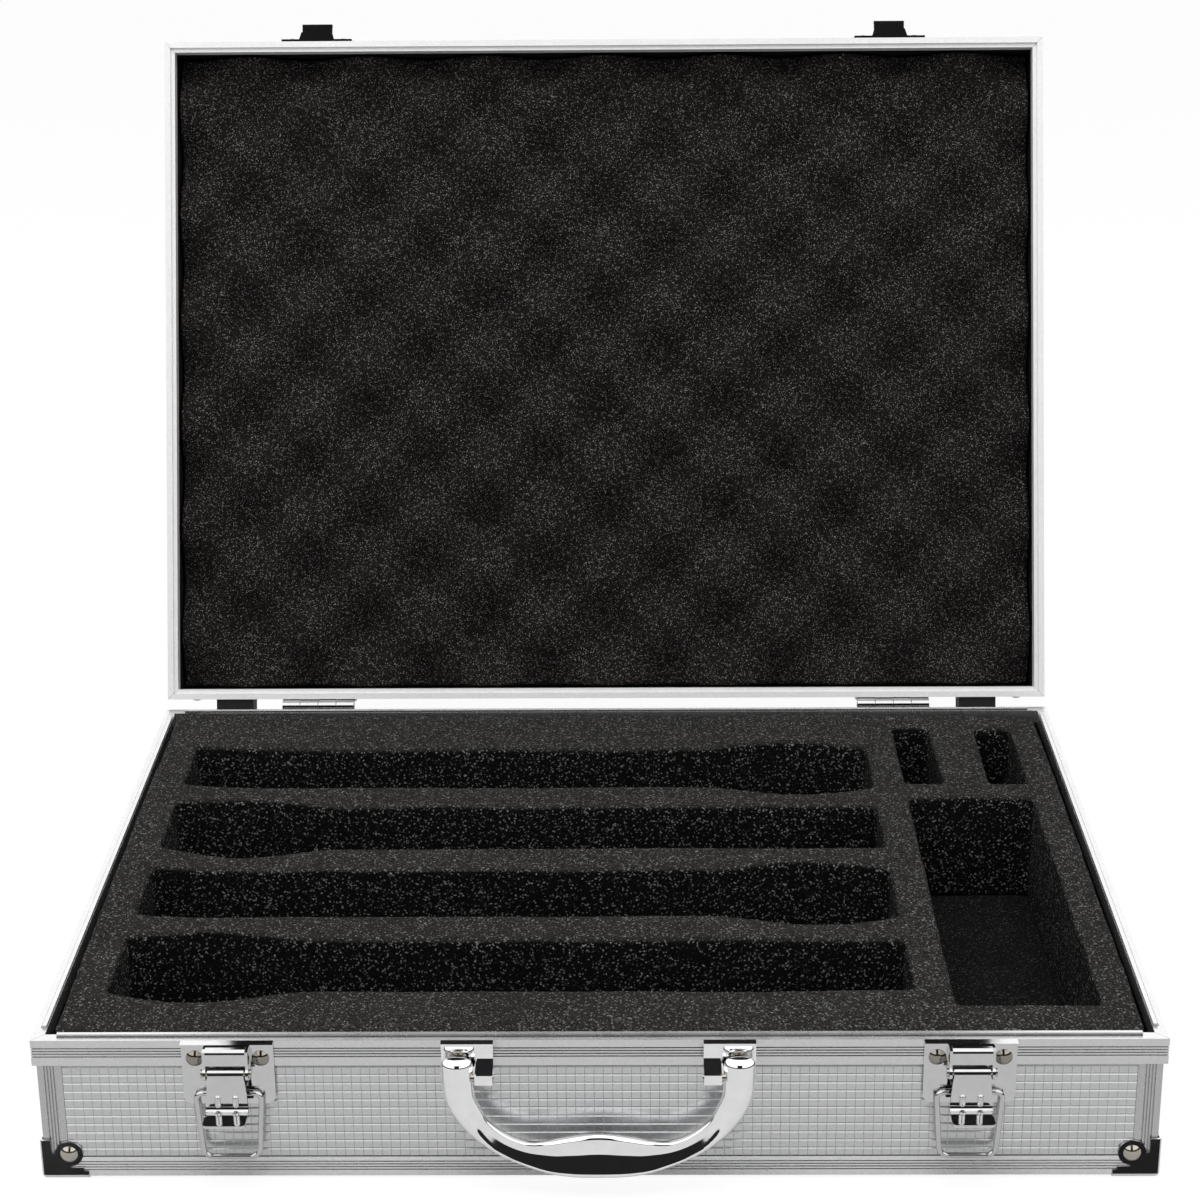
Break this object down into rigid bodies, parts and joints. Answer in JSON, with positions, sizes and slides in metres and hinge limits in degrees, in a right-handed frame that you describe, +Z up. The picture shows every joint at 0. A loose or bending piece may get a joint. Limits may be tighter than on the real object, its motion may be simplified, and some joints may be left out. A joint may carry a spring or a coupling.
{
  "type": "microphone hard case",
  "caption": "Aluminium framed hard case with lid open, cut foam for handheld microphones, front handle and two ring latches.",
  "frame": {"origin": "centre of the underside of the base, on the plane it stands on", "axes": "+X to the right seen from the handle side, +Y to the hinges, +Z up"},
  "size_m": [0.4028, 0.4518, 0.3479],
  "materials": {
    "rim_aluminium": "satin extruded aluminium with fine ridges",
    "edge_aluminium": "satin extruded aluminium with fine ridges",
    "panel_silver": "silver sheet embossed with a fine square grid",
    "steel_chrome": "bright chrome plate on stamped steel",
    "cast_chrome": "bright chrome plate on cast metal",
    "rivet_nickel": "nickel plated rivets and pins",
    "lining_black": "thin black lining",
    "foam_dark": "dark open cell foam",
    "foam_lid": "dark open cell foam with bumps",
    "foot_black": "moulded black plastic"
  },
  "bodies": {
    "base": {"base_bottom_board": "panel_silver", "base_front_panel": "panel_silver", "base_right_panel": "panel_silver", "base_back_panel": "panel_silver", "base_left_panel": "panel_silver", "base_front_rim": "rim_aluminium", "base_right_rim": "rim_aluminium", "base_back_rim": "rim_aluminium", "base_left_rim": "rim_aluminium", "base_front_edge": "edge_aluminium", "base_right_edge": "edge_aluminium", "base_back_edge": "edge_aluminium", "base_left_edge": "edge_aluminium", "base_corner_posts": "edge_aluminium", "base_corner_caps": "steel_chrome", "base_cap_rivets": "rivet_nickel", "base_lining": "lining_black", "foam_floor_pad": "foam_dark", "foam_insert": "foam_dark", "latch_plate_left": "steel_chrome", "latch_plate_right": "steel_chrome", "latch_pins": "rivet_nickel", "handle_bracket_left": "cast_chrome", "handle_bracket_right": "cast_chrome", "base_hardware_rivets": "rivet_nickel", "hinge_leaf_base_left": "steel_chrome", "hinge_leaf_base_right": "steel_chrome", "hinge_pins": "rivet_nickel", "rear_feet_base": "foot_black"},
    "carry_handle": {"handle": "cast_chrome", "handle_pins": "rivet_nickel"},
    "lever_left": {"latch_lever_left": "steel_chrome"},
    "lever_right": {"latch_lever_right": "steel_chrome"},
    "ring_left": {"latch_ring_left": "steel_chrome"},
    "ring_right": {"latch_ring_right": "steel_chrome"},
    "lid": {"lid_top_board": "panel_silver", "lid_front_panel": "panel_silver", "lid_right_panel": "panel_silver", "lid_back_panel": "panel_silver", "lid_left_panel": "panel_silver", "lid_front_rim": "rim_aluminium", "lid_right_rim": "rim_aluminium", "lid_back_rim": "rim_aluminium", "lid_left_rim": "rim_aluminium", "lid_front_edge": "edge_aluminium", "lid_right_edge": "edge_aluminium", "lid_back_edge": "edge_aluminium", "lid_left_edge": "edge_aluminium", "lid_corner_posts": "edge_aluminium", "lid_corner_caps": "steel_chrome", "lid_cap_rivets": "rivet_nickel", "lid_lining": "lining_black", "lid_foam": "foam_lid", "catch_left": "steel_chrome", "catch_right": "steel_chrome", "lid_hardware_rivets": "rivet_nickel", "hinge_leaf_lid_left": "steel_chrome", "hinge_leaf_lid_right": "steel_chrome", "rear_feet_lid": "foot_black"}
  },
  "joints": [
    {"name": "lid_hinge", "type": "hinge", "parent": "base", "child": "lid", "pos_m": [0, 0.1532, 0.05645], "axis": [1, 0, 0], "range_deg": [0, 110]},
    {"name": "handle_lift", "type": "hinge", "parent": "base", "child": "carry_handle", "pos_m": [0, -0.1592, 0.0465], "axis": [-1, 0, 0], "range_deg": [0, 85]},
    {"name": "latch_lever_left", "type": "hinge", "parent": "base", "child": "lever_left", "pos_m": [-0.1305, -0.156, 0.0465], "axis": [1, 0, 0], "range_deg": [-120, 0]},
    {"name": "latch_lever_right", "type": "hinge", "parent": "base", "child": "lever_right", "pos_m": [0.1305, -0.156, 0.0465], "axis": [1, 0, 0], "range_deg": [-120, 0]},
    {"name": "latch_ring_left", "type": "hinge", "parent": "lever_left", "child": "ring_left", "pos_m": [-0.1305, -0.1532, 0.0371], "axis": [-1, 0, 0], "range_deg": [0, 175.5]},
    {"name": "latch_ring_right", "type": "hinge", "parent": "lever_right", "child": "ring_right", "pos_m": [0.1305, -0.1532, 0.0371], "axis": [-1, 0, 0], "range_deg": [0, 175.5]}
  ]
}
